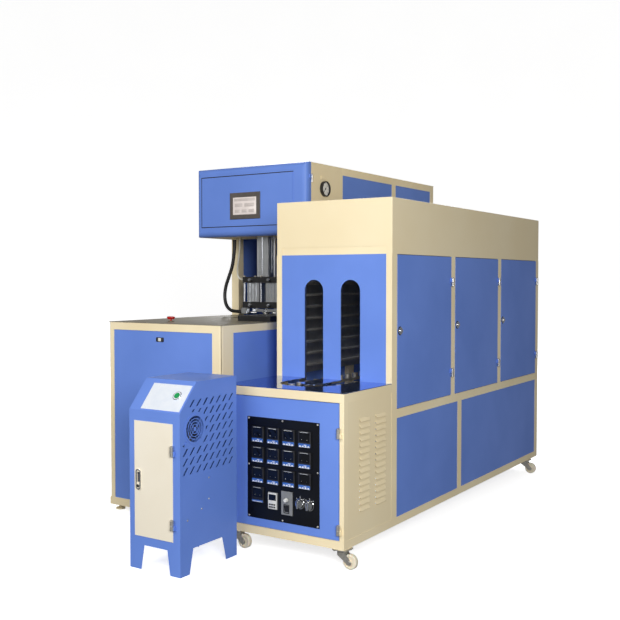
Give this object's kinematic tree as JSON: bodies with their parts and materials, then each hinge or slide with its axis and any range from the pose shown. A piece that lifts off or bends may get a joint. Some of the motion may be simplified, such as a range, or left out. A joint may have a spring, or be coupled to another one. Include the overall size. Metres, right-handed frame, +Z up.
{
  "type": "blow moulding machine",
  "caption": "Stretch blow moulding machine: infrared preheating oven with console, press with overhead blowing head and opening mould, and small drive cabinet.",
  "frame": {"origin": "middle of the whole machine's footprint, on the floor", "axes": "+Z up, +X to the operator's right, +Y to the rear, away from the operator"},
  "size_m": [1.592, 2.9502, 1.8385],
  "materials": {
    "frame_enamel": "smooth satin enamel",
    "cover_enamel": "smooth satin enamel",
    "blue_enamel": "smooth semi-gloss enamel",
    "cream_enamel": "smooth satin enamel",
    "table_enamel": "grey enamel",
    "shelf_steel": "polished",
    "zinc_steel": "zinc plated",
    "chrome": "polished",
    "aluminium": "anodised",
    "black_steel": "black enamel",
    "black_panel": "black overlay",
    "grey_plastic": "moulded",
    "black_plastic": "moulded",
    "white_plastic": "moulded",
    "cream_nylon": "moulded nylon",
    "red_plastic": "moulded",
    "green_plastic": "moulded",
    "rubber": "matt",
    "quartz": "clear"
  },
  "bodies": {
    "root": {"air_hose": "rubber", "air_tubes": "white_plastic", "cabinet_body": "blue_enamel", "cabinet_fascia": "white_plastic", "castor_plates": "zinc_steel", "console_shelf": "shelf_steel", "console_side_panels": "cover_enamel", "conveyor_motor": "black_steel", "head_housing": "cover_enamel", "hinge_pins": "zinc_steel", "lamp_reflectors": "aluminium", "mould_clamp": "black_steel", "oven_frame": "frame_enamel", "oven_front_panel": "blue_enamel", "oven_hood": "cover_enamel", "oven_panels": "blue_enamel", "preform_chain": "zinc_steel", "press_frame": "frame_enamel", "press_panels": "blue_enamel", "press_table": "table_enamel", "pressure_gauge": "black_plastic", "quartz_lamps": "quartz", "seal_cylinders": "aluminium", "stretch_cylinder": "aluminium"},
    "door_front": {"oven_door_front": "blue_enamel"},
    "lock_front": {"door_lock_front": "chrome"},
    "door_middle": {"oven_door_middle": "blue_enamel"},
    "lock_middle": {"door_lock_middle": "chrome"},
    "door_rear": {"oven_door_rear": "blue_enamel"},
    "lock_rear": {"door_lock_rear": "chrome"},
    "console_door": {"console_door": "blue_enamel", "instrument_panel": "black_panel", "power_regulators": "black_plastic", "panel_controllers": "grey_plastic"},
    "speed_knob": {"speed_knob": "white_plastic"},
    "run_switch": {"run_switch": "black_plastic"},
    "selector_left": {"selector_left": "chrome"},
    "selector_right": {"selector_right": "chrome"},
    "fork_front_left": {"castor_fork_front_left": "zinc_steel"},
    "wheel_front_left": {"castor_wheel_front_left": "cream_nylon"},
    "fork_front_right": {"castor_fork_front_right": "zinc_steel"},
    "wheel_front_right": {"castor_wheel_front_right": "cream_nylon"},
    "fork_rear_left": {"castor_fork_rear_left": "zinc_steel"},
    "wheel_rear_left": {"castor_wheel_rear_left": "cream_nylon"},
    "fork_rear_right": {"castor_fork_rear_right": "zinc_steel"},
    "wheel_rear_right": {"castor_wheel_rear_right": "cream_nylon"},
    "drive_sprocket": {"drive_sprocket": "black_steel"},
    "idler_sprocket": {"idler_sprocket": "black_steel"},
    "head_door": {"head_door": "blue_enamel", "touch_screen": "grey_plastic"},
    "gauge_needle": {"gauge_needle": "black_steel"},
    "emergency_stop": {"emergency_stop": "red_plastic"},
    "blow_nozzle": {"blow_nozzle": "chrome"},
    "stretch_rod": {"stretch_rod": "chrome"},
    "mould_front": {"mould_front": "black_steel"},
    "mould_rear": {"mould_rear": "black_steel"},
    "cabinet_door": {"cabinet_door": "cream_enamel"},
    "cabinet_lock": {"cabinet_handle": "zinc_steel"},
    "start_button": {"start_button": "green_plastic"},
    "cabinet_fan": {"cabinet_fan": "black_plastic"}
  },
  "joints": [
    {"name": "door_front_swing", "type": "hinge", "parent": "root", "child": "door_front", "pos_m": [0.76, 0.03818, 0.9], "axis": [0, 0, 1], "range_deg": [0, 110]},
    {"name": "lock_front_turn", "type": "hinge", "parent": "door_front", "child": "lock_front", "pos_m": [0.75, -0.5254, 0.968], "axis": [-1, 0, 0], "range_deg": [0, 90]},
    {"name": "door_middle_swing", "type": "hinge", "parent": "root", "child": "door_middle", "pos_m": [0.76, 0.67752, 0.9], "axis": [0, 0, 1], "range_deg": [0, 110]},
    {"name": "lock_middle_turn", "type": "hinge", "parent": "door_middle", "child": "lock_middle", "pos_m": [0.75, 0.11393, 0.968], "axis": [-1, 0, 0], "range_deg": [0, 90]},
    {"name": "door_rear_swing", "type": "hinge", "parent": "root", "child": "door_rear", "pos_m": [0.76, 1.31685, 0.9], "axis": [0, 0, 1], "range_deg": [0, 110]},
    {"name": "lock_rear_turn", "type": "hinge", "parent": "door_rear", "child": "lock_rear", "pos_m": [0.75, 0.75327, 0.968], "axis": [-1, 0, 0], "range_deg": [0, 90]},
    {"name": "console_door_swing", "type": "hinge", "parent": "root", "child": "console_door", "pos_m": [0.72675, -1.0259, 0.4], "axis": [0, 0, 1], "range_deg": [0, 7]},
    {"name": "speed_knob_turn", "type": "hinge", "parent": "console_door", "child": "speed_knob", "pos_m": [0.47, -1.0209, 0.258], "axis": [0, -1, 0], "range_deg": [0, 270]},
    {"name": "run_switch_rock", "type": "hinge", "parent": "console_door", "child": "run_switch", "pos_m": [0.47, -1.0239, 0.22], "axis": [-1, 0, 0], "range_deg": [0, 10]},
    {"name": "selector_left_turn", "type": "hinge", "parent": "console_door", "child": "selector_left", "pos_m": [0.536, -1.0209, 0.25], "axis": [0, -1, 0], "range_deg": [0, 90]},
    {"name": "selector_right_turn", "type": "hinge", "parent": "console_door", "child": "selector_right", "pos_m": [0.584, -1.0209, 0.248], "axis": [0, -1, 0], "range_deg": [0, 90]},
    {"name": "castor_front_left_swivel", "type": "hinge", "parent": "root", "child": "fork_front_left", "pos_m": [0.178, -0.9859, 0.07], "axis": [0, 0, 1], "continuous": true},
    {"name": "castor_front_left_roll", "type": "hinge", "parent": "fork_front_left", "child": "wheel_front_left", "pos_m": [0.216, -0.9859, 0.032], "axis": [0, 1, 0], "continuous": true},
    {"name": "castor_front_right_swivel", "type": "hinge", "parent": "root", "child": "fork_front_right", "pos_m": [0.726, -0.9859, 0.07], "axis": [0, 0, 1], "continuous": true},
    {"name": "castor_front_right_roll", "type": "hinge", "parent": "fork_front_right", "child": "wheel_front_right", "pos_m": [0.764, -0.9859, 0.032], "axis": [0, 1, 0], "continuous": true},
    {"name": "castor_rear_left_swivel", "type": "hinge", "parent": "root", "child": "fork_rear_left", "pos_m": [0.178, 1.2141, 0.07], "axis": [0, 0, 1], "continuous": true},
    {"name": "castor_rear_left_roll", "type": "hinge", "parent": "fork_rear_left", "child": "wheel_rear_left", "pos_m": [0.216, 1.2141, 0.032], "axis": [0, 1, 0], "continuous": true},
    {"name": "castor_rear_right_swivel", "type": "hinge", "parent": "root", "child": "fork_rear_right", "pos_m": [0.726, 1.2141, 0.07], "axis": [0, 0, 1], "continuous": true},
    {"name": "castor_rear_right_roll", "type": "hinge", "parent": "fork_rear_right", "child": "wheel_rear_right", "pos_m": [0.764, 1.2141, 0.032], "axis": [0, 1, 0], "continuous": true},
    {"name": "drive_sprocket_spin", "type": "hinge", "parent": "root", "child": "drive_sprocket", "pos_m": [0.433, 1.2341, 0.7], "axis": [0, 0, 1], "continuous": true},
    {"name": "idler_sprocket_spin", "type": "hinge", "parent": "root", "child": "idler_sprocket", "pos_m": [0.433, -0.7659, 0.7], "axis": [0, 0, 1], "continuous": true},
    {"name": "head_door_swing", "type": "hinge", "parent": "root", "child": "head_door", "pos_m": [-0.021, -0.0679, 1.64], "axis": [0, 0, 1], "range_deg": [0, 95]},
    {"name": "gauge_needle_sweep", "type": "hinge", "parent": "root", "child": "gauge_needle", "pos_m": [-0.027, 0.0621, 1.702], "axis": [-1, 0, 0], "range_deg": [0, 260]},
    {"name": "emergency_stop_press", "type": "slide", "parent": "root", "child": "emergency_stop", "axis": [0, 0, -1], "range_m": [0, 0.006], "stiffness_N_per_m": 3000},
    {"name": "nozzle_slide", "type": "slide", "parent": "root", "child": "blow_nozzle", "axis": [0, 0, -1], "range_m": [0, 0.022]},
    {"name": "stretch_rod_slide", "type": "slide", "parent": "root", "child": "stretch_rod", "axis": [0, 0, -1], "range_m": [0, 0.3]},
    {"name": "mould_front_slide", "type": "slide", "parent": "root", "child": "mould_front", "axis": [0, -1, 0], "range_m": [0, 0.12]},
    {"name": "mould_rear_slide", "type": "slide", "parent": "root", "child": "mould_rear", "axis": [0, 1, 0], "range_m": [0, 0.12]},
    {"name": "cabinet_door_swing", "type": "hinge", "parent": "root", "child": "cabinet_door", "pos_m": [0.21325, -1.4681, 0.38], "axis": [0, 0, 1], "range_deg": [0, 110]},
    {"name": "cabinet_lock_turn", "type": "hinge", "parent": "cabinet_door", "child": "cabinet_lock", "pos_m": [0.026, -1.4581, 0.349], "axis": [0, 1, 0], "range_deg": [0, 90]},
    {"name": "start_button_press", "type": "slide", "parent": "root", "child": "start_button", "axis": [0, 0.7553, -0.6554], "range_m": [0, 0.003], "stiffness_N_per_m": 1500},
    {"name": "fan_spin", "type": "hinge", "parent": "root", "child": "cabinet_fan", "pos_m": [0.2491, -1.3669, 0.592], "axis": [1, 0, 0], "continuous": true}
  ],
  "couplings": [
    {"joint": "idler_sprocket_spin", "follows": "drive_sprocket_spin", "ratio": 1},
    {"joint": "mould_rear_slide", "follows": "mould_front_slide", "ratio": 1}
  ]
}
